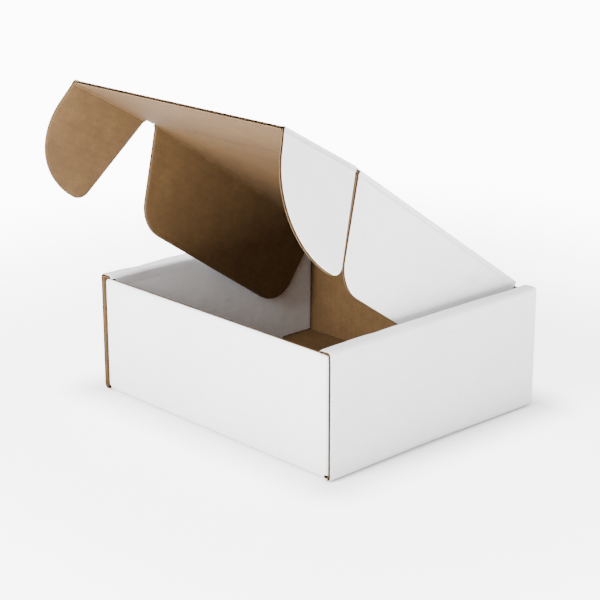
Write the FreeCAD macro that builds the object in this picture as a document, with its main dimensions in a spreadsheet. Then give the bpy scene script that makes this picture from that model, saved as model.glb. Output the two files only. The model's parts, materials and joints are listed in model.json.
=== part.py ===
"""Roll-end mailer box of thin corrugated board, with a hinged tuck lid.

One die-cut blank is folded into a tray with double side walls.  Its lid is
hinged on the back wall and carries two side flaps and a tuck flap, and the
tuck flap carries two round ears.  Millimetres, +Z up, +Y to the back, origin
in the middle of the face the tray stands on.  The lid is half open.
"""
import FreeCAD, Part
import os
import Sketcher

Vec = FreeCAD.Vector
Rot = FreeCAD.Rotation
Place = FreeCAD.Placement

SIZES = [
    # name, value, what it sets
    ("width", 140.0, "outside width over the two side walls"),
    ("depth", 118.0, "outside depth, front wall to back wall"),
    ("height", 52.0, "outside height of the side walls"),
    ("board", 1.6, "thickness of the board"),
    ("bend", 1.9, "outside radius of a right-angle fold"),
    ("ridge", 7.2, "width of the roll on top of a side wall"),
    ("overhang", 0.3, "how far the side walls stand out past the front and back faces"),
    ("slip", 0.3, "gap between a dust flap and the outer side panel"),
    ("dust_length", 50.0, "length of a dust flap"),
    ("dust_margin", 0.4, "gap over and under a dust flap"),
    ("rim_drop", 0.6, "front wall's rim below the closed lid"),
    ("tab_width", 18.0, "width of a lock tab"),
    ("tab_place", 30.0, "lock tab's middle, from the middle of the box"),
    ("tab_end", 0.3, "end of a lock tab above the table"),
    ("slot_gap", 0.3, "gap around a lock tab in its slot"),
    ("floor_gap", 0.5, "inner side panel above the floor"),
    ("end_gap", 0.5, "gap between an inner side panel and the front or back wall"),
    ("fold_relief", 0.2, "flat board left beside a fold's round"),
    ("corner_notch", 2.0, "how far the hinge crease stops short of the inner side panel"),
    ("crease_gap", 0.25, "gap at a crease, between the flap's round edge and its parent"),
    ("side_fit", 0.4, "gap between the lid's ears and the inner side panel"),
    ("nest", 0.3, "gap between folded parts that lie against each other"),
    ("tuck_length", 44.0, "length of the tuck flap"),
    ("ear_reach", 44.0, "how far an ear reaches from its crease"),
    ("ear_start", 3.3, "start of an ear's crease, from the lid's front crease"),
    ("ear_slant", 3.4, "how far an ear's back edge leans"),
    ("ear_round", 34.0, "large radius of an ear"),
    ("ear_corner", 5.0, "small radius of an ear"),
    ("flap_reach", 41.0, "how far a lid side flap reaches from its crease"),
    ("flap_start", 1.5, "start of a side flap's crease, from the back crease"),
    ("flap_end", 1.2, "end of a side flap's crease, from the front crease"),
    ("flap_lean", 1.5, "how far a side flap's back edge leans"),
    ("flap_taper", 16.5, "how far a side flap's front edge leans"),
    ("flap_front_corner", 16.0, "radius of a side flap's front corner"),
    ("flap_back_corner", 13.0, "radius of a side flap's back corner"),
    ("lid_open", 34.0, "lid's angle over the tray, degrees"),
    ("tuck_fold", 4.5, "tuck flap's fold out of the lid's plane, degrees"),
    ("ear_fold", 69.0, "ears' fold out of the tuck flap's plane, degrees"),
    ("flap_fold", 90.0, "side flaps' fold out of the lid's plane, degrees"),
]

doc = FreeCAD.newDocument("mailer_box")
sheet = doc.addObject("Spreadsheet::Sheet", "Sizes")
for row, (name, value, words) in enumerate(SIZES, start=1):
    sheet.set("A%d" % row, words)
    sheet.set("B%d" % row, str(value))
    sheet.setAlias("B%d" % row, name)
doc.recompute()


def size(name):
    return float(sheet.get(name))


# Formulas that several outlines share, written with the sheet's names
HALF = "Sizes.width / 2"
HALF_DEPTH = "Sizes.depth / 2"
SKIN = "Sizes.board"
INNER_FACE = "(Sizes.width / 2 - Sizes.ridge)"
FLAT_HALF = "(Sizes.width / 2 - Sizes.board - Sizes.slip - Sizes.bend - Sizes.fold_relief)"
DUST_OUT = "(Sizes.width / 2 - Sizes.board - Sizes.slip)"
UNDER_LID = "(Sizes.height - Sizes.board)"
CLEAR = "(Sizes.board / 2 + Sizes.crease_gap)"
LID_LENGTH = "(Sizes.depth - 2 * Sizes.board - Sizes.nest)"
EAR_LINE = "(Sizes.width / 2 - Sizes.ridge - Sizes.side_fit - Sizes.board / 2)"
FLAP_LINE = ("(Sizes.width / 2 - Sizes.ridge - Sizes.side_fit - Sizes.nest"
             " - 1.5 * Sizes.board)")


def minus(formula):
    return "-(" + formula + ")"


def origin_plane(body, role):
    for feature in body.Origin.OriginFeatures:
        if feature.Role == role:
            return feature
    raise ValueError("no plane " + role)


def new_sketch(body, name, role, lift=None):
    sketch = body.newObject("Sketcher::SketchObject", name)
    sketch.AttachmentSupport = [(origin_plane(body, role), "")]
    sketch.MapMode = "FlatFace"
    if lift:
        sketch.setExpression("AttachmentOffset.Base.z", lift)
    return sketch


def pin_point(sketch, geo, pos, formulas):
    """Fix one point of a sketch by a formula for each of its coordinates."""
    for kind, axis, formula in (("DistanceX", -2, formulas[0]), ("DistanceY", -1, formulas[1])):
        if formula == "0":
            sketch.addConstraint(Sketcher.Constraint("PointOnObject", geo, pos, axis))
        else:
            index = sketch.addConstraint(Sketcher.Constraint(kind, -1, 1, geo, pos, 1.0))
            sketch.setExpression("Constraints[%d]" % index, formula)


def add_outline(sketch, corners):
    """Closed outline of straight sides; every corner is a pair of formulas."""
    count = len(corners)
    first = sketch.GeometryCount
    spots = [Vec(10.0 * (first + k), 7.0 * k * (count - k), 0) for k in range(count)]
    for k in range(count):
        sketch.addGeometry(Part.LineSegment(spots[k], spots[(k + 1) % count]), False)
    for k in range(count):
        after = first + (k + 1) % count
        sketch.addConstraint(Sketcher.Constraint("Coincident", first + k, 2, after, 1))
    for k in range(count):
        pin_point(sketch, first + k, 1, corners[k])


def pad(body, sketch, name, length, symmetric=False):
    feature = body.newObject("PartDesign::Pad", name)
    feature.Profile = sketch
    feature.setExpression("Length", length)
    if symmetric:
        feature.SideType = "Symmetric"
    doc.recompute()
    return feature


def edges_along(shape, axis, wanted):
    """Names of straight edges along an axis whose other two coordinates match."""
    others = [k for k in range(3) if k != axis]
    found = []
    for number, edge in enumerate(shape.Edges, start=1):
        ends = [v.Point for v in edge.Vertexes]
        if len(ends) != 2 or (ends[1] - ends[0]).Length - abs(ends[1][axis] - ends[0][axis]) > 1e-6:
            continue
        for spot in wanted:
            if all(abs(ends[0][k] - spot[n]) < 1e-4 for n, k in enumerate(others)):
                found.append("Edge%d" % number)
    return found


def round_edges(body, base, name, axis, wanted, radius):
    names = edges_along(base.Shape, axis, wanted)
    if len(names) < len(wanted):
        raise ValueError("%s: %d of %d edges found" % (name, len(names), len(wanted)))
    feature = body.newObject("PartDesign::Fillet", name)
    feature.Base = (base, names)
    feature.setExpression("Radius", radius)
    doc.recompute()
    return feature


# The tray: side walls rolled over into inner panels
tray = doc.addObject("PartDesign::Body", "tray")
tray.Label = "tray"
right = [
    (HALF, "0"),
    (HALF, "Sizes.height"),
    (INNER_FACE, "Sizes.height"),
    (INNER_FACE, "Sizes.board + Sizes.floor_gap"),
    (INNER_FACE + " + Sizes.board", "Sizes.board + Sizes.floor_gap"),
    (INNER_FACE + " + Sizes.board", UNDER_LID),
    (HALF + " - Sizes.board", UNDER_LID),
    (HALF + " - Sizes.board", SKIN),
]
left = [(minus(x), z) for x, z in reversed(right)]
side_sketch = new_sketch(tray, "side_section", "XZ_Plane")
add_outline(side_sketch, right + left)
sides = pad(tray, side_sketch, "sides", "Sizes.depth + 2 * Sizes.overhang", True)

half = size("width") / 2
thick = size("board")
top = size("height")
inner = half - size("ridge")
outer_bends = []
inner_bends = []
for sign in (-1, 1):
    outer_bends += [(sign * half, 0.0), (sign * half, top), (sign * inner, top)]
    inner_bends += [(sign * (half - thick), thick), (sign * (half - thick), top - thick),
                    (sign * (inner + thick), top - thick)]
rolled = round_edges(tray, sides, "side_bends", 1, outer_bends, "Sizes.bend")
rolled = round_edges(tray, rolled, "side_bends_inside", 1, inner_bends, "Sizes.bend - Sizes.board")


# The inner panels stop short of the front and back walls, and the floor's
# ends are cut back for its other two folds
def both_ways(sketch, near, far, front, back):
    """A box outline and its mirror images at the other side and the other end."""
    for side in (1, -1):
        for end in (1, -1):
            box = [(near, front), (far, front), (far, back), (near, back)]
            if side < 0:
                box = [(minus(x), y) for x, y in box]
            if end < 0:
                box = [(x, minus(y)) for x, y in box]
            add_outline(sketch, box)


def pocket_along(body, sketch, name, length):
    before = body.Tip.Shape.Volume
    feature = body.newObject("PartDesign::Pocket", name)
    feature.Profile = sketch
    feature.Reversed = True
    feature.setExpression("Length", length)
    doc.recompute()
    if feature.Shape.Volume > before - 1.0:
        raise ValueError(name + " cuts nothing")
    return feature


end_sketch = new_sketch(tray, "panel_ends", "XY_Plane", "Sizes.board + Sizes.floor_gap / 2")
both_ways(end_sketch, INNER_FACE + " - Sizes.board", INNER_FACE + " + 1.5 * Sizes.board",
          HALF_DEPTH + " - Sizes.board - Sizes.end_gap", HALF_DEPTH + " + Sizes.board")
pocket_along(tray, end_sketch, "panel_end_cuts",
             "Sizes.height - Sizes.bend - Sizes.board - Sizes.floor_gap / 2")
corner_sketch = new_sketch(tray, "floor_ends", "XY_Plane")
FLOOR_END = HALF_DEPTH + " - Sizes.bend - Sizes.fold_relief"
FLOOR_SIDE = HALF + " - Sizes.bend"
PAST_END = HALF_DEPTH + " + Sizes.board"
for end in (1, -1):
    strip = [(FLOOR_SIDE, FLOOR_END), (FLOOR_SIDE, PAST_END),
             (minus(FLOOR_SIDE), PAST_END), (minus(FLOOR_SIDE), FLOOR_END)]
    add_outline(corner_sketch, strip if end > 0 else [(x, minus(y)) for x, y in strip])
pocket_along(tray, corner_sketch, "floor_end_cuts", "Sizes.bend")

# Front wall, floor and back wall, folded across the other way
FRONT_RIM = UNDER_LID + " - Sizes.rim_drop"
wall_sketch = new_sketch(tray, "wall_section", "YZ_Plane")
add_outline(wall_sketch, [
    (minus(HALF_DEPTH), "0"),
    (HALF_DEPTH, "0"),
    (HALF_DEPTH, FRONT_RIM),
    (HALF_DEPTH + " - Sizes.board", FRONT_RIM),
    (HALF_DEPTH + " - Sizes.board", SKIN),
    (minus(HALF_DEPTH + " - Sizes.board"), SKIN),
    (minus(HALF_DEPTH + " - Sizes.board"), FRONT_RIM),
    (minus(HALF_DEPTH), FRONT_RIM),
])
walls = pad(tray, wall_sketch, "walls", "2 * " + FLAT_HALF, True)
deep = size("depth") / 2
folded = round_edges(tray, walls, "wall_bends", 0, [(-deep, 0.0), (deep, 0.0)], "Sizes.bend")
folded = round_edges(tray, folded, "wall_bends_inside", 0,
                     [(thick - deep, thick), (deep - thick, thick)], "Sizes.bend - Sizes.board")

# Between its two notched ends the back wall rises to the lid's crease
rim_sketch = new_sketch(tray, "hinge_rim_outline", "XY_Plane", FRONT_RIM)
RIM_END = INNER_FACE + " - Sizes.corner_notch"
add_outline(rim_sketch, [(minus(RIM_END), HALF_DEPTH + " - Sizes.board"),
                         (RIM_END, HALF_DEPTH + " - Sizes.board"),
                         (RIM_END, HALF_DEPTH), (minus(RIM_END), HALF_DEPTH)])
pad(tray, rim_sketch, "hinge_rim", "Sizes.rim_drop - Sizes.crease_gap")

# Dust flaps, folded off both ends of the front and back walls into the rolls
dust_sketch = new_sketch(tray, "dust_flaps", "XY_Plane", "Sizes.board + Sizes.dust_margin")
DUST_END = HALF_DEPTH + " - Sizes.dust_length"
DUST_IN = DUST_OUT + " - Sizes.board"
for side in (1, -1):
    for end in (1, -1):
        hook = [
            (FLAT_HALF, HALF_DEPTH),
            (DUST_OUT, HALF_DEPTH),
            (DUST_OUT, DUST_END),
            (DUST_IN, DUST_END),
            (DUST_IN, HALF_DEPTH + " - Sizes.board"),
            (FLAT_HALF, HALF_DEPTH + " - Sizes.board"),
        ]
        if side < 0:
            hook = [(minus(x), y) for x, y in hook]
        if end < 0:
            hook = [(x, minus(y)) for x, y in hook]
        add_outline(dust_sketch, hook)
dust = pad(tray, dust_sketch, "dust", UNDER_LID + " - Sizes.board - 3 * Sizes.dust_margin")
dust_x = half - thick - size("slip")
corners_out = [(a * dust_x, b * deep) for a in (-1, 1) for b in (-1, 1)]
corners_in = [(a * (dust_x - thick), b * (deep - thick)) for a in (-1, 1) for b in (-1, 1)]
dust = round_edges(tray, dust, "dust_bends", 2, corners_out, "Sizes.bend")
dust = round_edges(tray, dust, "dust_bends_inside", 2, corners_in, "Sizes.bend - Sizes.board")

# Slots in the floor, and the inner panels' lock tabs that stand in them
slot_sketch = new_sketch(tray, "slots", "XY_Plane")
tab_sketch = new_sketch(tray, "tabs", "XY_Plane", "Sizes.tab_end")
both_ways(slot_sketch, INNER_FACE + " - Sizes.slot_gap",
          INNER_FACE + " + Sizes.board + Sizes.slot_gap",
          "Sizes.tab_place - Sizes.tab_width / 2 - Sizes.slot_gap",
          "Sizes.tab_place + Sizes.tab_width / 2 + Sizes.slot_gap")
pocket_along(tray, slot_sketch, "slot_cuts", SKIN)
both_ways(tab_sketch, INNER_FACE, INNER_FACE + " + Sizes.board",
          "Sizes.tab_place - Sizes.tab_width / 2", "Sizes.tab_place + Sizes.tab_width / 2")
tabs = pad(tray, tab_sketch, "lock_tabs", "Sizes.board + Sizes.floor_gap - Sizes.tab_end + 0.5")


def flap(name, corners, line_role, line_length, line_lift=None):
    """A flat flap about its crease, which is the local X or Y axis.

    The board's middle plane is the local XY plane with the outside up, and
    the crease edge is rounded so that it can turn next to its parent.
    """
    body = doc.addObject("PartDesign::Body", name)
    body.Label = name
    sheet_sketch = new_sketch(body, name + "_outline", "XY_Plane")
    add_outline(sheet_sketch, corners)
    pad(body, sheet_sketch, name + "_board", SKIN, True)
    bead_sketch = new_sketch(body, name + "_crease_section", line_role, line_lift)
    bead_sketch.addGeometry(Part.Circle(Vec(0, 0, 0), Vec(0, 0, 1), thick / 2), False)
    bead_sketch.addConstraint(Sketcher.Constraint("Coincident", 0, 3, -1, 1))
    radius = bead_sketch.addConstraint(Sketcher.Constraint("Radius", 0, thick / 2))
    bead_sketch.setExpression("Constraints[%d]" % radius, "Sizes.board / 2")
    bead = pad(body, bead_sketch, name + "_crease", line_length, line_lift is None)
    return body, bead


# Lid panel
LID_HALF = FLAP_LINE + " - " + CLEAR
lid_corners = [
    (LID_HALF, "0"),
    (LID_HALF, minus(LID_LENGTH + " - " + CLEAR)),
    (minus(LID_HALF), minus(LID_LENGTH + " - " + CLEAR)),
    (minus(LID_HALF), "0"),
]
lid, lid_bead = flap("lid_panel", lid_corners, "YZ_Plane", "2 * (" + LID_HALF + ")")
crush_sketch = new_sketch(lid, "crushed_section", "XZ_Plane", "Sizes.board")
for sign in (1, -1):
    wedge = [(LID_HALF, "0"), (LID_HALF, minus("Sizes.board / 2")),
             (LID_HALF + " - Sizes.board / 2", minus("Sizes.board / 2"))]
    add_outline(crush_sketch, [(x, z) if sign > 0 else (minus(x), z) for x, z in wedge])
pocket_along(lid, crush_sketch, "crushed_creases", LID_LENGTH)

# Tuck flap
TUCK_HALF = EAR_LINE + " - " + CLEAR
tuck_corners = [
    (TUCK_HALF, "0"),
    (TUCK_HALF, "-Sizes.tuck_length"),
    (minus(TUCK_HALF), "-Sizes.tuck_length"),
    (minus(TUCK_HALF), "0"),
]
tuck, tuck_bead = flap("tuck_flap", tuck_corners, "YZ_Plane", "2 * (" + TUCK_HALF + ")")


# Flaps at the sides: each turns about the local Y axis and reaches along X
def side_piece(name, sign, start, end, far_start, far_end, reach):
    corners = [
        ("0", minus(start)),
        ("0", minus(end)),
        (reach, minus(far_end)),
        (reach, minus(far_start)),
    ]
    if sign < 0:
        corners = [(x if x == "0" else minus(x), y) for x, y in corners]
    return flap(name, corners, "XZ_Plane", end + " - (" + start + ")", start)


flap_line = inner - size("side_fit") - size("nest") - 1.5 * thick
lid_length = size("depth") - 2 * thick - size("nest")
side_flaps = {}
tuck_ears = {}
for word, sign in (("left", -1), ("right", 1)):
    body, bead = side_piece("lid_side_flap_" + word, sign, "Sizes.flap_start",
                            LID_LENGTH + " - Sizes.flap_end",
                            "Sizes.flap_start + Sizes.flap_lean",
                            LID_LENGTH + " - Sizes.flap_end - Sizes.flap_taper",
                            "Sizes.flap_reach")
    reach = sign * size("flap_reach")
    far_front = -(lid_length - size("flap_end") - size("flap_taper"))
    far_back = -(size("flap_start") + size("flap_lean"))
    shaped = round_edges(body, bead, body.Name + "_front_corner", 2, [(reach, far_front)],
                         "Sizes.flap_front_corner")
    round_edges(body, shaped, body.Name + "_back_corner", 2, [(reach, far_back)],
                "Sizes.flap_back_corner")
    side_flaps[sign] = body

    body, bead = side_piece("tuck_ear_" + word, sign, "Sizes.ear_start", "Sizes.tuck_length",
                            "Sizes.ear_start + Sizes.ear_slant", "Sizes.tuck_length",
                            "Sizes.ear_reach")
    reach = sign * size("ear_reach")
    shaped = round_edges(body, bead, body.Name + "_round", 2, [(reach, -size("tuck_length"))],
                         "Sizes.ear_round")
    round_edges(body, shaped, body.Name + "_corner", 2,
                [(reach, -(size("ear_start") + size("ear_slant")))], "Sizes.ear_corner")
    tuck_ears[sign] = body

# Each crease sits in its parent's frame; the folds chain from the tray outward
lid_place = Place(Vec(0, deep - thick / 2, top - thick / 2), Rot(Vec(1, 0, 0), -size("lid_open")))
tuck_place = lid_place * Place(Vec(0, -lid_length, 0), Rot(Vec(1, 0, 0), size("tuck_fold")))
ear_line = inner - size("side_fit") - thick / 2
lid.Placement = lid_place
tuck.Placement = tuck_place
for sign in (-1, 1):
    turn = Rot(Vec(0, 1, 0), sign * size("flap_fold"))
    side_flaps[sign].Placement = lid_place * Place(Vec(sign * flap_line, 0, 0), turn)
    turn = Rot(Vec(0, 1, 0), sign * size("ear_fold"))
    tuck_ears[sign].Placement = tuck_place * Place(Vec(sign * ear_line, 0, 0), turn)
doc.recompute()

for obj in doc.Objects:
    if "Invalid" in obj.State or "Error" in obj.State:
        raise ValueError("%s is %s" % (obj.Name, obj.State))
bodies = [tray, lid, tuck, side_flaps[-1], side_flaps[1], tuck_ears[-1], tuck_ears[1]]
for body in bodies:
    if body.Shape.isNull() or not body.Shape.isValid() or len(body.Shape.Solids) != 1:
        raise ValueError("%s is not one valid solid" % body.Label)

os.makedirs("parts", exist_ok=True)
for body in bodies:
    body.Shape.exportStep("parts/%s.step" % body.Label)
    box = body.Shape.BoundBox
    print("%-22s volume %9.1f  x %.1f..%.1f  y %.1f..%.1f  z %.1f..%.1f" % (
        body.Label, body.Shape.Volume, box.XMin, box.XMax, box.YMin, box.YMax, box.ZMin, box.ZMax))
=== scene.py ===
# %% [markdown]
# # An open mailer box of white-faced corrugated board
#
# The object is one die-cut sheet, folded into a tray with a hinged lid.  What makes it look real
# is the board itself: two thin liners with a wavy medium between them, which shows wherever the
# sheet is cut.  So this scene doesn't bevel plain blocks.  It builds the three paper layers of
# every panel, ends them at the true outlines, and lets the open flutes show by themselves.

# %% Load the frame
import json
import math

import bmesh
import bpy
from mathutils import Matrix, Vector, noise as smooth_noise


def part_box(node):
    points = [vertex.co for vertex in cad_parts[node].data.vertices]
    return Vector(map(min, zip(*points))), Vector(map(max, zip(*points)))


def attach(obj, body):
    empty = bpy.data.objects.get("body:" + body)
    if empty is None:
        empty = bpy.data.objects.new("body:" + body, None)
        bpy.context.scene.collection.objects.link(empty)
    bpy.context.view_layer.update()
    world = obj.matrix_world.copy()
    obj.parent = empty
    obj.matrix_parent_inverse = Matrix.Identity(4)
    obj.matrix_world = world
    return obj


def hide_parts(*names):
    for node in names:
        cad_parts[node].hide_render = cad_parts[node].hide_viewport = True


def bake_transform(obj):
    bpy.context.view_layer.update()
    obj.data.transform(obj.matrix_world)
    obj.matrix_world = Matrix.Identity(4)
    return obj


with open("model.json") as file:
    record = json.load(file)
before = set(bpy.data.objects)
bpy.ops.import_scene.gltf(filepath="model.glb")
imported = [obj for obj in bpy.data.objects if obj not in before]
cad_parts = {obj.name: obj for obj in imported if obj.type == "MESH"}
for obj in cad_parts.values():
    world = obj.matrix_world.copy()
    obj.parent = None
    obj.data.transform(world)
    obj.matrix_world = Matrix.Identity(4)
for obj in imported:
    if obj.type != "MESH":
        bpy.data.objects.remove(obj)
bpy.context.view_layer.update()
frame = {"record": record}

# %% [markdown]
# ## Sizes
#
# Everything is in metres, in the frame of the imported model, so each piece lies where its CAD
# solid lies.  The sheet is 1.6 mm thick with a flute every 3.4 mm.  The tray's outside sizes are
# measured from the frame, so they can't differ from the solid's.  What a bounding box can't
# tell, such as gaps and fold radii, gets a name: here if many pieces need it, and otherwise in
# the cell that uses it.

# %% Sizes of the box and of the board
MM = 0.001
low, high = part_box("tray")
HALF, WALL_END, HEIGHT = high.x, high.y, high.z
BOARD = 1.6 * MM
FLUTE = 3.4 * MM                     # from one flute to the next
LINER = 0.21 * MM                    # thickness of a liner
MEDIUM = 0.13 * MM                   # thickness of the wavy medium
BEND = 1.9 * MM                      # outside radius of a fold
RELIEF = 0.2 * MM                    # flat board left beside a fold
RIDGE = 7.2 * MM                     # width of the roll on a side wall
FACE = WALL_END - 0.3 * MM           # front and back faces, just inside the walls' ends
FLOOR_END = FACE - BEND - RELIEF
PANEL_END = FACE - BOARD - 0.5 * MM  # inner side panels stop at the end walls
RIM = HEIGHT - BOARD - 0.6 * MM      # front wall's rim
DUST = HALF - BOARD - 0.3 * MM       # outside face of the dust flaps
DUST_END = FACE - 50 * MM
CREASE_GAP = 0.25 * MM               # between a flap's round edge and its parent
print("tray %.0f x %.1f x %.0f mm" % (2e3 * HALF, 2e3 * WALL_END, 1e3 * HEIGHT))

# %% [markdown]
# ## Places of the creases
#
# Each hinge's place and direction come from the record, so the flaps can't drift from the
# bodies that they ride on.  From the lid's crease to the tuck flap's crease is the lid's
# direction; the board's outside direction is square to it and to the width.  Typing the angles
# again would be shorter, but then a change of the lid's angle would leave the looks behind.

# %% Read the hinges
joints = {j["name"]: j for j in frame["record"]["behaviour"]["joints"]}
hinge = {name: Vector(j["pos_m"]) for name, j in joints.items()}
ear_axis = Vector(joints["ear_right_hinge"]["axis"])
lid_from = Vector((0, hinge["lid_hinge"].y, hinge["lid_hinge"].z))
lid_to = Vector((0, hinge["tuck_hinge"].y, hinge["tuck_hinge"].z))
LID_LENGTH = (lid_to - lid_from).length
lid_along = (lid_to - lid_from).normalized()
tuck_along = ear_axis.normalized()
if tuck_along.y > 0:
    tuck_along.negate()
ACROSS = Vector((1, 0, 0))
lid_out = lid_along.cross(ACROSS)
tuck_out = tuck_along.cross(ACROSS)
EAR_LINE = hinge["ear_right_hinge"].x
FLAP_LINE = hinge["side_flap_right_hinge"].x
EAR_FOLD = math.radians(joints["ear_right_hinge"]["range_deg"][1])
print("lid %.1f mm long, %.1f degrees open" % (1e3 * LID_LENGTH,
      math.degrees(math.asin(lid_along.z))))
print("outside directions:", tuple(round(c, 3) for c in lid_out),
      tuple(round(c, 3) for c in tuck_out))

# %% [markdown]
# ## Nodes for paper
#
# Paper has no pattern that repeats, so its colour and its surface are built from noise.  The
# same few node groups come back in each finish: a noise, a ramp that turns it into colours, and
# a mix.  They are written as small functions, because a chain of calls is easier to read and to
# change than a long list of nodes and links.


# %% Helpers for node materials
def new_material(name):
    mat = bpy.data.materials.new(name)
    mat.use_nodes = True
    nodes = mat.node_tree.nodes
    links = mat.node_tree.links
    shader = nodes["Principled BSDF"]
    return mat, nodes, links, shader


def noise(nodes, links, vector, scale, detail=3.0, roughness=0.55):
    node = nodes.new("ShaderNodeTexNoise")
    node.inputs["Scale"].default_value = scale
    node.inputs["Detail"].default_value = detail
    node.inputs["Roughness"].default_value = roughness
    links.new(vector, node.inputs["Vector"])
    return node.outputs["Fac"]


def ramp(nodes, links, value, stops):
    node = nodes.new("ShaderNodeValToRGB")
    while len(node.color_ramp.elements) < len(stops):
        node.color_ramp.elements.new(0.5)
    for element, (place, color) in zip(node.color_ramp.elements, stops):
        element.position = place
        element.color = (*color, 1.0)
    links.new(value, node.inputs["Fac"])
    return node.outputs["Color"]


def multiply(nodes, links, factor, first, second):
    node = nodes.new("ShaderNodeMix")
    node.data_type = "RGBA"
    node.blend_type = "MULTIPLY"
    node.inputs["Factor"].default_value = factor
    links.new(first, node.inputs[6])
    links.new(second, node.inputs[7])
    return node.outputs[2]


def stretched(nodes, links, vector, scale):
    node = nodes.new("ShaderNodeMapping")
    node.inputs["Scale"].default_value = scale
    links.new(vector, node.inputs["Vector"])
    return node.outputs["Vector"]


# %% [markdown]
# ## Stripes of the flutes, and surface relief
#
# The flutes show faintly through both liners, because the paper sinks a little between the glue
# lines.  The mesh carries the distance across the flutes in its UV map, so a sine of that
# distance makes stripes that keep step with the real flutes at the cut edges.  Fine relief is a
# chain of bump nodes: what changes the outline is real mesh, and only the soft unevenness
# within a face is left to bump.


# %% Stripes and bumps
def flute_stripes(nodes, links, uv):
    """A wave from -1 to 1 across each flute; U is the distance across the flutes."""
    split = nodes.new("ShaderNodeSeparateXYZ")
    links.new(uv, split.inputs["Vector"])
    turn = nodes.new("ShaderNodeMath")
    turn.operation = "MULTIPLY"
    turn.inputs[1].default_value = 2 * math.pi / FLUTE
    links.new(split.outputs["X"], turn.inputs[0])
    wave = nodes.new("ShaderNodeMath")
    wave.operation = "SINE"
    links.new(turn.outputs[0], wave.inputs[0])
    return wave.outputs[0]


def bumps(nodes, links, shader, layers):
    """Chain bump nodes: each layer is (height output, strength, distance)."""
    normal = None
    for height, strength, distance in layers:
        node = nodes.new("ShaderNodeBump")
        node.inputs["Strength"].default_value = strength
        node.inputs["Distance"].default_value = distance
        links.new(height, node.inputs["Height"])
        if normal is not None:
            links.new(normal, node.inputs["Normal"])
        normal = node.outputs["Normal"]
    links.new(normal, shader.inputs["Normal"])


print("a flute every %.1f mm makes %.0f stripes on a side wall" % (1e3 * FLUTE, HEIGHT / FLUTE))

# %% [markdown]
# ## White liner
#
# The outside is coated paper: nearly even, a little cloudy, with fine grain and a few scuffs
# from handling.  A flat white would look like plastic under the soft light, so four noises of
# different sizes each take a few percent off the colour.  The roughness follows the grain.  The
# specular level is one plain value, so it sits on the shader's own socket.


# %% Make the white liner
def make_white():
    mat, nodes, links, shader = new_material("white_liner")
    place = nodes.new("ShaderNodeTexCoord").outputs["Object"]
    uv = nodes.new("ShaderNodeUVMap").outputs["UV"]
    clouds = noise(nodes, links, place, 28.0, 4.0)
    mottle = noise(nodes, links, place, 210.0, 4.0, 0.6)
    grain = noise(nodes, links, place, 1500.0, 3.0, 0.7)
    fibres = noise(nodes, links, stretched(nodes, links, uv, (2600.0, 420.0, 1.0)), 1.0, 2.0)
    scuffs = noise(nodes, links, stretched(nodes, links, place, (60.0, 60.0, 150.0)), 1.0, 6.0)
    color = ramp(nodes, links, clouds, [(0.3, (0.615, 0.615, 0.63)), (0.7, (0.65, 0.65, 0.665))])
    fleck = ramp(nodes, links, grain, [(0.25, (0.90, 0.89, 0.88)), (0.42, (1.0, 1.0, 1.0))])
    patches = ramp(nodes, links, mottle, [(0.3, (0.955, 0.955, 0.955)), (0.65, (1.0, 1.0, 1.0))])
    marks = ramp(nodes, links, scuffs, [(0.26, (0.90, 0.895, 0.89)), (0.36, (1.0, 1.0, 1.0))])
    for share, layer in ((1.0, patches), (0.8, marks), (0.8, fleck)):
        color = multiply(nodes, links, share, color, layer)
    links.new(color, shader.inputs["Base Color"])
    rough = ramp(nodes, links, grain, [(0.3, (0.52, 0.52, 0.52)), (0.7, (0.66, 0.66, 0.66))])
    links.new(rough, shader.inputs["Roughness"])
    shader.inputs["Specular IOR Level"].default_value = 0.32
    stripes = flute_stripes(nodes, links, uv)
    bumps(nodes, links, shader, [(stripes, 0.12, 0.00006), (clouds, 0.45, 0.0012),
                                 (mottle, 0.30, 0.00012), (fibres, 0.40, 0.00005),
                                 (grain, 0.35, 0.00005)])
    return mat


WHITE = make_white()
print("made", WHITE.name)

# %% [markdown]
# ## Kraft liner, medium and cut edge
#
# Kraft paper is unbleached: a felt of long brown fibres with dark specks.  Its colour is clouds
# and mottle, with fibres that run along the flutes and others that lie askew.  The medium inside
# is the same pulp, a little greyer, and a cut edge is lighter because the knife opens the pulp.
# All three are one recipe with other tones and another roughness, which keeps them akin.


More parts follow.
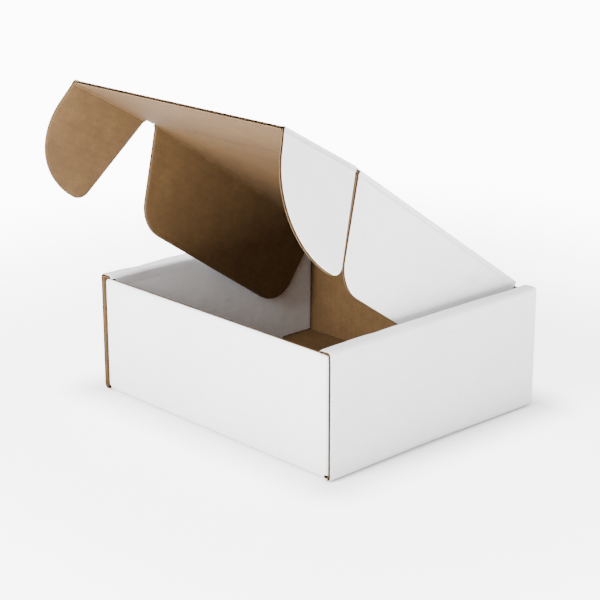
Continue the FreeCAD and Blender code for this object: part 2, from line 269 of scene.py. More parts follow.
# %% Make the three brown papers
def make_kraft(name, dark, light, rough_low, rough_high):
    mat, nodes, links, shader = new_material(name)
    place = nodes.new("ShaderNodeTexCoord").outputs["Object"]
    uv = nodes.new("ShaderNodeUVMap").outputs["UV"]
    clouds = noise(nodes, links, place, 24.0, 5.0)
    mottle = noise(nodes, links, place, 170.0, 4.0, 0.6)
    along = noise(nodes, links, stretched(nodes, links, uv, (2900.0, 520.0, 1.0)), 1.0, 4.0, 0.65)
    askew = noise(nodes, links, stretched(nodes, links, place, (520.0, 2300.0, 1500.0)), 1.0, 3.0)
    specks = noise(nodes, links, place, 1500.0, 2.0, 0.5)
    wrinkles = noise(nodes, links, stretched(nodes, links, uv, (34.0, 620.0, 1.0)), 1.0, 3.0)
    stripes = flute_stripes(nodes, links, uv)
    color = ramp(nodes, links, clouds, [(0.28, dark), (0.72, light)])
    patches = ramp(nodes, links, mottle, [(0.3, (0.78, 0.76, 0.74)), (0.7, (1.0, 1.0, 1.0))])
    strands = ramp(nodes, links, along, [(0.3, (0.74, 0.71, 0.67)), (0.65, (1.0, 1.0, 1.0))])
    threads = ramp(nodes, links, askew, [(0.28, (0.82, 0.80, 0.77)), (0.6, (1.0, 1.0, 1.0))])
    bands = ramp(nodes, links, stripes, [(0.0, (0.97, 0.965, 0.96)), (0.8, (1.0, 1.0, 1.0))])
    dots = ramp(nodes, links, specks, [(0.27, (0.50, 0.44, 0.38)), (0.35, (1.0, 1.0, 1.0))])
    for share, layer in ((0.9, patches), (0.6, strands), (0.6, threads), (1.0, bands),
                         (0.4, dots)):
        color = multiply(nodes, links, share, color, layer)
    links.new(color, shader.inputs["Base Color"])
    rough = ramp(nodes, links, along, [(0.3, (rough_high,) * 3), (0.7, (rough_low,) * 3)])
    links.new(rough, shader.inputs["Roughness"])
    shader.inputs["Specular IOR Level"].default_value = 0.25
    bumps(nodes, links, shader, [(stripes, 0.14, 0.00008), (clouds, 0.25, 0.0006),
                                 (wrinkles, 0.30, 0.00018), (along, 0.35, 0.00005),
                                 (specks, 0.2, 0.00004)])
    return mat


KRAFT = make_kraft("kraft_liner", (0.079, 0.0418, 0.0138), (0.103, 0.0568, 0.0192), 0.72, 0.86)
FLUTING = make_kraft("fluted_medium", (0.085, 0.048, 0.021), (0.11, 0.063, 0.029), 0.82, 0.92)
CUT = make_kraft("cut_paper", (0.18, 0.115, 0.06), (0.23, 0.15, 0.082), 0.85, 0.95)
PAPERS = [WHITE, KRAFT, FLUTING, CUT]
OUTSIDE, INSIDE, WAVY, EDGE = range(4)
print("made", [m.name for m in PAPERS])

# %% [markdown]
# ## Paths across the flutes
#
# A panel is described by a path across its flutes, as seen on its cut edge, and by how far it
# reaches along the flutes at each point of that path.  A fold is then only a rounded corner of
# the path.  Because the reach can change from point to point, the same few lines make a
# rectangle, a round ear or a wall that is rolled over.  A solid with a bump texture would be
# less work, but its edges would be blank.


# %% Arcs at the corners
def arc(before, corner, after, radius, steps):
    """The points of a round that replaces a corner between two neighbours."""
    to_before = (Vector(before) - corner).normalized()
    to_after = (Vector(after) - corner).normalized()
    half_turn = to_before.angle(to_after) / 2
    center = corner + (to_before + to_after).normalized() * radius / math.sin(half_turn)
    start = corner + to_before * radius / math.tan(half_turn) - center
    swing = math.pi - 2 * half_turn
    side = 1 if to_before.x * to_after.y - to_before.y * to_after.x < 0 else -1
    points = []
    for n in range(steps + 1):
        turned = start.copy()
        turned.rotate(Matrix.Rotation(side * swing * n / steps, 2))
        points.append(center + turned)
    return points


right_angle = arc((1, 0), Vector((0, 0)), (0, 1), 0.5, 8)
print("a test arc has %d points, and ends at (%.2f, %.2f)" % (len(right_angle), *right_angle[-1]))


# %% Paths with rounded folds
def walk(corners, radius, step=FLUTE / 10):
    """Points, outside directions and distances along a path of straight runs and arcs."""
    spots = [Vector(corners[0])]
    for k in range(1, len(corners) - 1):
        spots += arc(corners[k - 1], Vector(corners[k]), corners[k + 1], radius, 8)
    spots.append(Vector(corners[-1]))
    path = []
    distance = 0.0
    for a, b in zip(spots, spots[1:]):
        run = (b - a).length
        if run < 1e-9:
            continue
        along = (b - a) / run
        out = Vector((along.y, -along.x))
        pieces = max(1, round(run / step))
        for n in range(pieces + (b is spots[-1])):
            path.append([a + along * run * n / pieces, out, distance + run * n / pieces])
        distance += run
    for k in range(1, len(path) - 1):
        if path[k][1].dot(path[k - 1][1]) < 0.9999:
            path[k][1] = (path[k][1] + path[k - 1][1]).normalized()
    return path


folded = walk([(0, 0), (10 * MM, 0), (10 * MM, 10 * MM)], BEND)
print("a 10 + 10 mm fold takes %.2f mm of board in %d steps" % (1e3 * folded[-1][2], len(folded)))

# %% [markdown]
# ## Rows along the flutes, and crushed ends
#
# Flat board needs points at its two ends only.  But a cutting die squeezes the board where it
# cuts, so the last millimetre gets a few rows that can be pressed, and a dented ridge gets many.
# A press is a small function that is handed a point's height over the board's middle and gives
# back a new one.  A modifier could do the same, but it wouldn't know which end is cut.

# %% Rows and presses
CRUSH = 1.1 * MM


def ends_only(lo, hi):
    return [lo, hi]


def near_ends(lo, hi):
    step = min(CRUSH, (hi - lo) / 3)
    return [lo, lo + step * 0.4, lo + step, hi - step, hi - step * 0.4, hi]


def many_rows(count):
    """Rows near both ends, and even ones between them."""
    def rows(lo, hi):
        ends = near_ends(lo, hi)
        between = [ends[2] + (ends[3] - ends[2]) * n / count for n in range(1, count)]
        return ends[:3] + between + ends[3:]
    return rows


def crushed(low_end=True, high_end=True, share=0.3):
    """The cutting die squeezes the board at an open end, on both faces alike."""
    def press(spot, w, h, lo, hi):
        near = 0.0
        if low_end:
            near = max(near, 1 - (w - lo) / CRUSH)
        if high_end:
            near = max(near, 1 - (hi - w) / CRUSH)
        return h * (1 - share * near ** 2)
    return press


squeezed = crushed()(None, 0.0, BOARD / 2, 0.0, 50 * MM)
print("a cut end is %.2f mm thick, and the board %.2f mm" % (2e3 * squeezed, 1e3 * BOARD))

# %% [markdown]
# ## One paper layer as a mesh
#
# Paper is too thin to be modelled by hand and too important at the edges to be left out.  Each
# layer is a ribbon between two heights beside a path: two skins, with a narrow strip all round
# them that takes the cut paper's finish.  Points, faces, papers and UVs are collected in plain
# lists first and become a Blender mesh in one go, which is much faster than adding faces one by
# one.


# %% Collect faces
class Board:
    """Collects the ribbons of one piece, with UVs in metres across and along the flutes."""

    def __init__(self, name):
        self.name = name
        self.points = []
        self.faces = []
        self.paper = []
        self.uvs = []

    def quad(self, corners, uvs, paper):
        first = len(self.points)
        self.points.extend(corners)
        self.faces.append(range(first, first + len(corners)))
        self.paper.append(paper)
        self.uvs.extend(uvs)


# %% One ribbon
def ribbon(board, place, path, top, under, reach, papers, rows=ends_only, press=None):
    """A paper layer between two heights beside a path.

    Papers are for its outside, inside and cut edges.  Rows gives the places along the reach
    where it has points, and press may move a height there.
    """
    grid = []
    for k, (p, out, s) in enumerate(path):
        lo, hi = reach[k]
        spots = rows(lo, hi)
        grid.append([[(place(p + out * (press(p, w, h, lo, hi) if press else h), w), w)
                      for w in spots] for h in (top[k], under[k])])
    last = len(grid[0][0]) - 1
    for k in range(len(path) - 1):
        a, b = grid[k], grid[k + 1]
        s, t = path[k][2], path[k + 1][2]
        for n in range(last):
            for side in (0, 1):
                around = [(a, s, n), (b, t, n), (b, t, n + 1), (a, s, n + 1)]
                if side:
                    around.reverse()
                board.quad([g[side][m][0] for g, u, m in around],
                           [(u, g[side][m][1]) for g, u, m in around], papers[side])
        for m in (0, last):
            board.quad([a[0][m][0], a[1][m][0], b[1][m][0], b[0][m][0]],
                       [(s, 0), (s, BOARD), (t, BOARD), (t, 0)], papers[2])
    for a in (grid[0], grid[-1]):
        for n in range(last):
            board.quad([a[0][n][0], a[0][n + 1][0], a[1][n + 1][0], a[1][n][0]],
                       [(0, a[0][n][1]), (0, a[0][n + 1][1]), (BOARD, a[0][n + 1][1]),
                        (BOARD, a[0][n][1])], papers[2])


# %% [markdown]
# ## Three layers make a panel
#
# Corrugated board is two flat liners glued to the crests of a wavy sheet.  So a panel is three
# ribbons on one path: the white liner above, the kraft liner below, and between them a ribbon
# whose height is a sine of the distance along the path.  The medium ends a little behind the
# liners, as it does under a real knife, which gives the cut edge its small shadows.


# %% Liners and medium
def panel(board, place, path, reach, medium=True, rows=ends_only, press=None):
    """Both liners and the wavy medium along a path."""
    half = BOARD / 2
    count = len(path)
    ribbon(board, place, path, [half] * count, [half - LINER] * count, reach,
           (OUTSIDE, INSIDE, EDGE), rows, press)
    ribbon(board, place, path, [LINER - half] * count, [-half] * count, reach,
           (INSIDE, INSIDE, EDGE), rows, press)
    if medium:
        glue_gap = 0.01 * MM
        set_back = 0.12 * MM
        rise = half - LINER - MEDIUM / 2 - glue_gap
        waves = [rise * math.sin(2 * math.pi * step[2] / FLUTE) for step in path]
        shorter = [(lo + set_back, hi - set_back) for lo, hi in reach]
        ribbon(board, place, path, [w + MEDIUM / 2 for w in waves],
               [w - MEDIUM / 2 for w in waves], shorter, (WAVY, WAVY, WAVY), rows, press)


# %% From lists to an object
def finish(board, body=None):
    """Make the mesh, weld its points, and let it ride on a body."""
    mesh = bpy.data.meshes.new(board.name)
    mesh.from_pydata(board.points, [], board.faces)
    layer = mesh.uv_layers.new(name="UVMap")
    layer.data.foreach_set("uv", [c for uv in board.uvs for c in uv])
    for paper in PAPERS:
        mesh.materials.append(paper)
    mesh.polygons.foreach_set("material_index", board.paper)
    mesh.validate()
    welded = bmesh.new()
    welded.from_mesh(mesh)
    bmesh.ops.remove_doubles(welded, verts=welded.verts, dist=0.002 * MM)
    welded.to_mesh(mesh)
    welded.free()
    mesh.shade_smooth()
    mesh.set_sharp_from_angle(angle=math.radians(32))
    obj = bpy.data.objects.new(board.name, mesh)
    bpy.context.collection.objects.link(obj)
    if body:
        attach(obj, body)
    print("%-24s %6d faces" % (board.name, len(mesh.polygons)))
    return obj


# %% [markdown]
# ## The tray's rolled side walls
#
# On the real box one strip of board runs from the middle of the floor out to a side, up the
# wall, over the ridge and down again inside.  Its cut ends face the front and the back, which
# is why the flutes show up the near corner.  One path makes all of it, and the same path
# mirrored makes the other side.  Only the reach changes: the inner panel is shorter than the
# wall, so that it fits between the front and the back wall.

# %% The path of a side
tray = Board("tray_board")
MID = BOARD / 2
MID_BEND = BEND - MID
PANEL_FOOT = BOARD + 0.5 * MM        # the inner panel ends over the floor
inner_mid = HALF - RIDGE + MID
roll = walk([(0, MID), (HALF - MID, MID), (HALF - MID, HEIGHT - MID), (inner_mid, HEIGHT - MID),
             (inner_mid, PANEL_FOOT)], MID_BEND)
print("roll is %.1f mm of board on each side" % (1e3 * roll[-1][2]))


def side_place(sign):
    return lambda spot, w: (sign * spot.x, w, spot.y)


def side_reach(spot):
    inside = spot.x < HALF - BOARD - 1 * MM
    if inside and spot.y < HEIGHT - BEND:
        return PANEL_END
    return WALL_END


# %% [markdown]
# ## Wear on the walls
#
# A box that was folded by hand is never quite sharp.  Its ridges carry shallow dents where the
# board was pushed over, and the fold along the floor bows up a little between its ends, which
# leaves the fine dark line under the wall in the photo.  Both are pressed into the mesh, since
# they change the outline.  Smooth noise gives the dents, from the place alone, so they are the
# same in every run.

# %% Dents and the bowed fold
DENT_ZONE = 5 * MM                   # dents fade out this far below the ridge
DENT_FADE = 4 * MM
SOFT_DENT, FINE_DENT = 0.55 * MM, 0.2 * MM
BOW = 0.7 * MM                       # lift of the bottom fold halfway along the wall
BOW_AT, BOW_FADE = 1.4 * MM, 1.2 * MM


def worn(sign):
    """Dents along the ridge, the bow of the bottom fold, and crushed ends."""
    squeeze = crushed()

    def press(spot, w, h, lo, hi):
        rise = min(1.0, max(0.0, (spot.y - HEIGHT + DENT_ZONE) / DENT_FADE))
        soft = smooth_noise.noise(Vector((sign * 3.0 + spot.x * 70, w * 62, spot.y * 70)))
        fine = smooth_noise.noise(Vector((sign * 9.0 + spot.x * 230, w * 210, spot.y * 230)))
        dent = rise * (SOFT_DENT * max(0.0, soft + 0.12) + FINE_DENT * max(0.0, fine))
        if spot.x > HALF - BEND:
            near_fold = max(0.0, 1 - abs(spot.y - BOW_AT) / BOW_FADE)
            dent += BOW * near_fold * math.sin(math.pi * (w - lo) / (hi - lo)) ** 2
        return squeeze(spot, w, h, lo, hi) - dent
    return press


halfway = BOARD / 2 - worn(1)(Vector((HALF, BOW_AT)), 0.0, BOARD / 2, -WALL_END, WALL_END)
print("the bottom fold is pressed in by %.2f mm halfway" % (1e3 * halfway))

# %% [markdown]
# ## Where the path needs many rows
#
# Dents need points every few millimetres along the ridge, but the flat wall doesn't.  So the
# path is cut into parts: the floor, the bottom fold, the wall, the ridge and the inner panel.
# Each part gets its own rows, and neighbours share the point where they meet.  One fine grid for
# all would be simpler, and several times as heavy.

# %% Parts of the path
floor_part = [step for step in roll if step[0].y < BEND and step[0].x < HALF - BEND]
wall_part = roll[len(floor_part) - 1:]
fold_last = next(k for k, step in enumerate(wall_part) if step[0].y > 3 * MM)
rim_first = next(k for k, step in enumerate(wall_part) if step[0].y > HEIGHT - DENT_ZONE)
rim_last = next(k for k, step in enumerate(wall_part)
                if step[0].x < HALF - RIDGE / 2 and step[0].y < HEIGHT - DENT_ZONE)
parts = [(wall_part[:fold_last + 1], many_rows(12)),
         (wall_part[fold_last:rim_first + 1], near_ends),
         (wall_part[rim_first:rim_last + 1], many_rows(33)),
         (wall_part[rim_last:], near_ends)]
print("steps of the wall's parts:", [len(part) for part, rows in parts])


def add_walls(sign):
    for part, rows in parts:
        ends = [side_reach(spot) for spot, out, s in part]
        panel(tray, side_place(sign), part, [(-e, e) for e in ends], True, rows, worn(sign))


# %% [markdown]
# ## Floor, slots and lock tabs
#
# Two tabs at the foot of each inner panel stand in slots in the floor, and hold the roll down.
# The floor is made in lanes along its path.  Only the lane where the slots are is interrupted:
# its reach is three spans in place of one.  Cutting holes with a boolean would work as well, but
# it would lose the three layers at the slots' edges.

# %% Lanes of the floor, and the tabs
SLOT_GAP = 0.3 * MM
TAB_IN, TAB_OUT = HALF - RIDGE - SLOT_GAP, HALF - RIDGE + BOARD + SLOT_GAP
TAB_PLACE, TAB_HALF = 30 * MM, 9 * MM
TAB_LIFT = 0.3 * MM
LAP = 0.3 * MM                       # neighbouring lanes lap over each other
slot_near, slot_far = TAB_PLACE - TAB_HALF - SLOT_GAP, TAB_PLACE + TAB_HALF + SLOT_GAP
whole = [(-FLOOR_END, FLOOR_END)]
around_slots = [(-FLOOR_END, -slot_far), (-slot_near, slot_near), (slot_far, FLOOR_END)]
lanes = [(0.0, TAB_IN, whole), (TAB_IN - LAP, TAB_OUT + LAP, around_slots), (TAB_OUT, HALF, whole)]
tab = walk([(inner_mid, PANEL_FOOT + 0.1 * MM), (inner_mid, TAB_LIFT)], MID_BEND)


def add_floor(sign):
    for start, stop, spans in lanes:
        lane = [step for step in floor_part if start <= step[0].x <= stop]
        for span in spans:
            panel(tray, side_place(sign), lane, [span] * len(lane))


def add_tabs(sign):
    for middle in (-TAB_PLACE, TAB_PLACE):
        span = (middle - TAB_HALF, middle + TAB_HALF)
        panel(tray, side_place(sign), tab, [span] * len(tab))


for sign in (-1, 1):
    add_walls(sign)
    add_floor(sign)
    add_tabs(sign)
print("both sides have %d faces" % len(tray.faces))

# %% [markdown]
# ## End walls and dust flaps
#
# The front wall bends back at both ends into dust flaps, which hide inside the rolled side
# walls.  Seen from above, that is a second path, and the flutes now end at its top edge.  The
# same path turned round makes the back wall, whose top is the lid's crease.  The photo shows the
# front rim as a thin brown line behind a rolled white lip: the die pressed the white liner
# over, so the rim's rows are pressed towards the inside.

# %% The path of an end wall, and its rim
FLAT_HALF = DUST - BEND - RELIEF
HINGE_HALF = HALF - RIDGE - 2.0 * MM
DUST_FOOT = BOARD + 0.4 * MM
DUST_TOP = HEIGHT - BOARD - 0.8 * MM
RIM_CRUSH = 1.4 * MM
hook = walk([(-DUST + MID, -DUST_END), (-DUST + MID, -FACE + MID),
             (DUST - MID, -FACE + MID), (DUST - MID, -DUST_END)], MID_BEND)
print("an end wall with its dust flaps is %.1f mm of board" % (1e3 * hook[-1][2]))


def rim_rows(lo, hi):
    return [lo, hi - RIM_CRUSH, hi - 0.8 * MM, hi - 0.3 * MM, hi]


def crushed_rim(spot, w, h, lo, hi):
    """The die crushes the rim: the white liner rolls over towards the inside."""
    near = max(0.0, 1 - (hi - w) / RIM_CRUSH)
    return -BOARD / 2 + (h + BOARD / 2) * (1 - 0.45 * near ** 2)


def end_reach(spot, at_back):
    """Foot and top of an end wall, or of its dust flaps, at one point of the path."""
    if at_back and abs(spot.x) < HINGE_HALF:
        return BEND, HEIGHT - BOARD - CREASE_GAP
    if abs(spot.x) < FLAT_HALF:
        return BEND, RIM
    return DUST_FOOT, DUST_TOP


# %% Front wall, back wall and their folds
fold = walk([(-FACE + MID, BEND + 0.1 * MM), (-FACE + MID, MID), (-FLOOR_END + RELIEF, MID)],
            MID_BEND)
for end in (1, -1):
    def end_place(spot, w, end=end):
        return (end * spot.x, end * spot.y, w)

    def fold_place(spot, w, end=end):
        return (w, end * spot.x, spot.y)

    reach = [end_reach(spot, end < 0) for spot, out, s in hook]
    panel(tray, end_place, hook, reach, True, rim_rows, crushed_rim)
    panel(tray, fold_place, fold, [(-FLAT_HALF, FLAT_HALF)] * len(fold), False)
tray_obj = finish(tray, "tray")
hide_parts("tray")

# %% [markdown]
# ## Lid and tuck flap
#
# Each flap is a flat panel whose path runs across the flutes.  Its place in space is an origin
# on the crease and three directions: across, along and outside.  The lid's two long sides are
# crushed to half the board on the inside, because the side flaps fold in next to them; a full
# edge there would cut into a flap that folds past the square.


# %% Lid
def flat_place(origin, across, along, out):
    """Path X goes across the flutes, path Y is the board's outside."""
    return lambda spot, w: origin + across * spot.x + out * spot.y + along * w


def flat_path(start, stop):
    path = []
    count = max(2, round(abs(stop - start) / (FLUTE / 12)))
    for k in range(count + 1):
        x = start + (stop - start) * k / count
        path.append([Vector((x, 0)), Vector((0, 1)), x])
    return path


CLEAR = BOARD / 2 + CREASE_GAP       # from a crease's axis to its parent's edge
lid = Board("lid_board")
lid_half = FLAP_LINE - CLEAR
lid_path = flat_path(-lid_half, lid_half)


def crushed_sides(spot, w, h, lo, hi):
    """Beside the flaps' creases the inside is crushed, so that a flap can fold in."""
    return max(h, abs(spot.x) - lid_half)


panel(lid, flat_place(lid_from, ACROSS, lid_along, lid_out), lid_path,
      [(0, LID_LENGTH - CLEAR)] * len(lid_path), True, ends_only, crushed_sides)
lid_obj = finish(lid, "lid")
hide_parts("lid_panel")

# %% Tuck flap
TUCK_LENGTH = 44 * MM
tuck = Board("tuck_board")
tuck_half = EAR_LINE - CLEAR
tuck_path = flat_path(-tuck_half, tuck_half)
panel(tuck, flat_place(lid_to, ACROSS, tuck_along, tuck_out), tuck_path,
      [(0, TUCK_LENGTH)] * len(tuck_path), True, near_ends, crushed(False, True))
tuck_obj = finish(tuck, "tuck")
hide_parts("tuck_flap")

# %% [markdown]
# ## Outlines of the side flaps and ears
#
# The ears are cut with one large round, which guides them down beside the inner side panels
# when the box is closed, and the side flaps have two round corners.  A rounded outline is worked
# out from its corners and their radii.  For every step across the flutes, the outline is then
# asked for its lowest and highest point, so that the flutes end on the curve like those of a
# punched blank.


# %% Outlines with rounded corners
def rounded(corners, radii):
    """A closed outline: each corner with a radius is replaced by an arc."""
    outline = []
    count = len(corners)
    for k, radius in enumerate(radii):
        corner = Vector(corners[k])
        if radius:
            outline += arc(corners[k - 1], corner, corners[(k + 1) % count], radius, 40)
        else:
            outline.append(corner)
    return outline


def reach_at(outline, x):
    """Lowest and highest Y of a closed outline at one X."""
    hits = []
    for a, b in zip(outline, outline[1:] + outline[:1]):
        if min(a.x, b.x) - 1e-9 <= x <= max(a.x, b.x) + 1e-9:
            if abs(b.x - a.x) < 1e-9:
                hits += [a.y, b.y]
            else:
                hits.append(a.y + (b.y - a.y) * (x - a.x) / (b.x - a.x))
    return min(hits), max(hits)


# %% Outlines of a side flap and an ear
FLAP_REACH, FLAP_START, FLAP_END = 41 * MM, 1.5 * MM, 1.2 * MM
FLAP_LEAN, FLAP_TAPER = 1.5 * MM, 16.5 * MM
EAR_REACH, EAR_START, EAR_SLANT = 44 * MM, 3.3 * MM, 3.4 * MM
flap_front = LID_LENGTH - FLAP_END
flap_outline = rounded(
    [(0, FLAP_START), (0, flap_front),
     (FLAP_REACH, flap_front - FLAP_TAPER), (FLAP_REACH, FLAP_START + FLAP_LEAN)],
    [0, 0, 16 * MM, 13 * MM])
ear_outline = rounded(
    [(0, EAR_START), (0, TUCK_LENGTH), (EAR_REACH, TUCK_LENGTH),
     (EAR_REACH, EAR_START + EAR_SLANT)],
    [0, 0, 34 * MM, 5 * MM])
for name, outline in (("side flap", flap_outline), ("ear", ear_outline)):
    spans = [tuple(round(1e3 * y, 1) for y in reach_at(outline, x * MM)) for x in (0, 20, 40)]
    print("%s at 0, 20 and 40 mm from its crease: %s mm" % (name, spans))

# %% [markdown]
# ## Side flaps and ears in their places
#
# A flap turns about its crease, so its direction away from the crease is the parent's, turned
# by the fold angle.  The photo shows the side flaps square to the lid and the ears not quite
# folded.  Left and right differ by a sign only, so one loop makes both; mirroring finished
# objects would turn their faces inside out.


# %% Side flaps and ears
def side_flap(name, body, node, origin, sign, fold, along, out, outline):
    """A flap that folds out of its parent's plane by an angle, about its crease."""
    across = ACROSS * sign
    away = across * math.cos(fold) - out * math.sin(fold)
    outside = across * math.sin(fold) + out * math.cos(fold)
    piece = Board(name)
    spots = flat_path(0, max(p.x for p in outline) - 0.02 * MM)
    reach = [reach_at(outline, step[0].x) for step in spots]
    panel(piece, flat_place(origin, away, along, outside), spots, reach, True, near_ends,
          crushed())
    obj = finish(piece, body)
    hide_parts(node)
    return away, outside


sides = {}
for word, sign in (("left", -1), ("right", 1)):
    sides["flap", sign] = side_flap(
        "side_flap_%s_board" % word, "side_flap_" + word, "lid_side_flap_" + word,
        lid_from + ACROSS * sign * FLAP_LINE, sign, math.radians(90), lid_along, lid_out,
        flap_outline)
    sides["ear", sign] = side_flap(
        "ear_%s_board" % word, "ear_" + word, "tuck_ear_" + word,
        lid_to + ACROSS * sign * EAR_LINE, sign, EAR_FOLD, tuck_along, tuck_out, ear_outline)

# %% [markdown]
# ## Creases
#
# A crease is pressed into the board before it is folded: outside, the liner runs on over a
# small round, and inside it is crushed into a soft valley.  Each crease here is a pair of thin
# strips, curved between the two bodies as they stand in this pose and fixed in place there.  A
# gap would look like a cut.


# %% The two curves of a crease
CREASE_LIFT = BOARD / 2 + 0.03 * MM  # the strips lie just over the board's faces
AHEAD, BEHIND = 1.7 * MM, 1.5 * MM   # how far they reach on both sides of the axis


def crease_curves(center, from_way, from_out, to_way, to_out):
    """The outside round and the inside valley, seen along the crease."""
    turn = from_out.angle(to_out) if from_out.angle(to_out) > 1e-4 else 0.0
    axis = from_out.cross(to_out).normalized() if turn else ACROSS
    steps = 10
    outer = [center - from_way * BEHIND + from_out * CREASE_LIFT]
    for k in range(steps + 1):
        spoke = Matrix.Rotation(turn * k / steps, 3, axis) @ from_out
        outer.append(center + spoke * CREASE_LIFT)
    outer.append(center + to_way * AHEAD + to_out * CREASE_LIFT)
    start = center - from_way * AHEAD - from_out * CREASE_LIFT
    stop = center + to_way * AHEAD - to_out * CREASE_LIFT
    valley = center - (from_out + to_out).normalized() * CREASE_LIFT / math.cos(turn / 2)
    inner = [start * (1 - t) ** 2 + valley * 2 * t * (1 - t) + stop * t ** 2
             for t in [k / 8 for k in range(9)]]
    return outer, inner


# %% Crease strips
STRIP = 0.12 * MM


def crease(name, center, along, span, from_way, from_out, to_way, to_out, trim=0.0):
    """from_way points to the crease and to_way away from it; both outs are the white side.

    The inside strip is shorter by the trim at both ends, where a flap folds past it.
    """
    piece = Board(name)
    outer, inner = crease_curves(center, from_way, from_out, to_way, to_out)
    for spots, papers, less in ((outer, (OUTSIDE, OUTSIDE, EDGE), 0.0),
                                (inner, (INSIDE, INSIDE, EDGE), trim)):
        path = []
        travel = 0.0
        for k, spot in enumerate(spots):
            travel += (spot - spots[k - 1]).length if k else 0.0
            path.append([spot, (spot - center).normalized(), travel])
        count = len(path)
        ribbon(piece, lambda spot, w: spot + along * w, path, [0.0] * count, [-STRIP] * count,
               [(span[0] + less, span[1] - less)] * count, papers)
    obj = finish(piece)
    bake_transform(obj)


# %% Six creases
UP = Vector((0, 0, 1))
BACK = Vector((0, 1, 0))
TRIM = 1.2 * MM
crease("crease_lid", lid_from, ACROSS, (-lid_half, lid_half),
       UP, BACK, lid_along, lid_out, TRIM)
crease("crease_tuck", lid_to, ACROSS, (-lid_half, lid_half),
       lid_along, lid_out, tuck_along, tuck_out, TRIM)
for word, sign in (("left", -1), ("right", 1)):
    away, outside = sides["flap", sign]
    crease("crease_flap_" + word,
           lid_from + ACROSS * sign * FLAP_LINE, lid_along, (FLAP_START, flap_front),
           ACROSS * sign, lid_out, away, outside)
    away, outside = sides["ear", sign]
    crease("crease_ear_" + word,
           lid_to + ACROSS * sign * EAR_LINE, tuck_along, (EAR_START, TUCK_LENGTH),
           ACROSS * sign, tuck_out, away, outside)

# %% [markdown]
# ## Studio floor
#
# The photo is a product shot on white: the table is almost burnt out, yet a soft shadow stays
# under the box.  The floor here is pale paper that glows a little, like a sweep with its own
# lamps.  The glow depends on the distance from the box's footprint.  It is nothing under the
# box, so the contact shadow survives, and it grows again further out, where the backdrop is.  A
# shadow catcher would give pure white, but no light would come back up onto the kraft.

# %% Floor
floor_mat, nodes, links, shader = new_material("studio_floor")
beyond = nodes.new("ShaderNodeTexCoord").outputs["Object"]
soft = noise(nodes, links, beyond, 3.0)
links.new(ramp(nodes, links, soft, [(0.2, (0.93, 0.93, 0.93)), (0.8, (0.95, 0.95, 0.95))]),
          shader.inputs["Base Color"])
shader.inputs["Roughness"].default_value = 0.9
for work, value in (("ABSOLUTE", None), ("SUBTRACT", (HALF, WALL_END, 10.0)),
                    ("MAXIMUM", (0.0, 0.0, 0.0)), ("LENGTH", None)):
    step = nodes.new("ShaderNodeVectorMath")
    step.operation = work
    links.new(beyond, step.inputs[0])
    if value:
        step.inputs[1].default_value = value
    beyond = step.outputs["Value" if work == "LENGTH" else "Vector"]
total = nodes.new("ShaderNodeMath")
for k, (near, far, strength) in enumerate([(-0.001, 0.025, 2.7), (0.06, 0.36, 6.5)]):
    glow = nodes.new("ShaderNodeMapRange")
    glow.interpolation_type = "SMOOTHSTEP"
    glow.inputs["From Min"].default_value = near
    glow.inputs["From Max"].default_value = far
    glow.inputs["To Max"].default_value = strength
    links.new(beyond, glow.inputs["Value"])
    links.new(glow.outputs["Result"], total.inputs[k])
shader.inputs["Emission Color"].default_value = (1.0, 1.0, 1.0, 1.0)
links.new(total.outputs["Value"], shader.inputs["Emission Strength"])
bpy.ops.mesh.primitive_plane_add(size=12, location=(0, 0, -0.0004))
floor = bpy.context.object
floor.name = "studio_floor"
floor.data.materials.append(floor_mat)
print("floor", tuple(floor.dimensions))

# %% [markdown]
# ## Sky and lights
#
# Much of the light comes from a white sky, brighter overhead than at the horizon, which makes
# the ridges lighter than a wall in shade.  One large soft light stands in front, and is what makes
# the front wall brighter than the right one.  A weak light further right reaches under the lid,
# so that the kraft inside stays readable, and another one lifts the right side a little.  A
# single strong lamp would be simpler, but its hard shadow would show every edge twice.

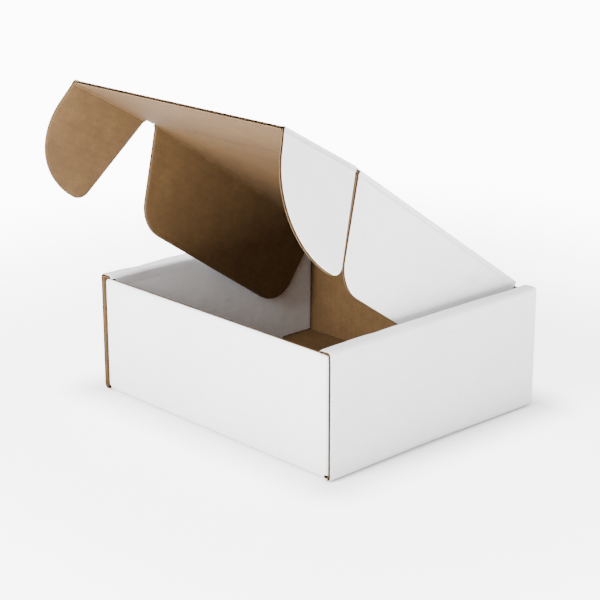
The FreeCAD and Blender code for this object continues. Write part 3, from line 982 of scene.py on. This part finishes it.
# %% Sky
HORIZON, ZENITH = 0.25, 3.1
world = bpy.data.worlds.new("studio")
bpy.context.scene.world = world
world.use_nodes = True
nodes, links = world.node_tree.nodes, world.node_tree.links
way = nodes.new("ShaderNodeSeparateXYZ")
links.new(nodes.new("ShaderNodeTexCoord").outputs["Generated"], way.inputs["Vector"])
sky = nodes.new("ShaderNodeMapRange")
sky.inputs["To Min"].default_value = HORIZON
sky.inputs["To Max"].default_value = ZENITH
links.new(way.outputs["Z"], sky.inputs["Value"])
nodes["Background"].inputs["Color"].default_value = (1.0, 1.0, 1.0, 1.0)
links.new(sky.outputs["Result"], nodes["Background"].inputs["Strength"])
print("sky from %.2f at the horizon to %.1f overhead" % (HORIZON, ZENITH))


# %% Lights
def soft_light(name, spot, aim, size, power):
    data = bpy.data.lights.new(name, "AREA")
    data.shape = "DISK"
    data.size = size
    data.energy = power
    lamp = bpy.data.objects.new(name, data)
    bpy.context.collection.objects.link(lamp)
    lamp.location = spot
    lamp.rotation_euler = (Vector(aim) - Vector(spot)).to_track_quat("-Z", "Y").to_euler()
    print("light %-6s %4.1f W at %s" % (name, power, spot))


soft_light("front", (0.0, -1.1, 0.62), (0, 0, 0.05), 0.5, 42.0)
soft_light("low", (0.5, -0.9, 0.4), (-0.03, 0, 0.05), 0.4, 2.0)
soft_light("side", (1.1, -0.2, 0.8), (0, 0, 0.05), 0.7, 1.0)

# %% [markdown]
# ## Camera
#
# The camera was fitted to the photo's edges: the tray's corners tell the direction, and the
# upright edges, which lean together a little, tell the distance.  Given as yaw, pitch, target
# and distance it can be read and changed more easily than as a matrix.  Its focal length is in
# pixels of the square picture, so it is turned into Blender's millimetres here.

# %% Camera
YAW, PITCH = math.radians(46.75), math.radians(17.75)
DISTANCE = 0.770
FOCAL_PIXELS, PICTURE_PIXELS = 1700, 600
SENSOR = 36.0
forward = Vector((-math.sin(YAW) * math.cos(PITCH), math.cos(YAW) * math.cos(PITCH),
                  -math.sin(PITCH)))
target = Vector((-0.0434, 0.0316, 0.026))
camera_data = bpy.data.cameras.new("camera")
camera = bpy.data.objects.new("camera", camera_data)
bpy.context.collection.objects.link(camera)
camera.location = target - forward * DISTANCE
camera.rotation_euler = forward.to_track_quat("-Z", "Y").to_euler()
camera_data.sensor_width = SENSOR
camera_data.lens = SENSOR * FOCAL_PIXELS / PICTURE_PIXELS
camera_data.clip_start = 0.05
camera_data.clip_end = 30.0
bpy.context.scene.camera = camera
print("camera at", tuple(round(c, 3) for c in camera.location))
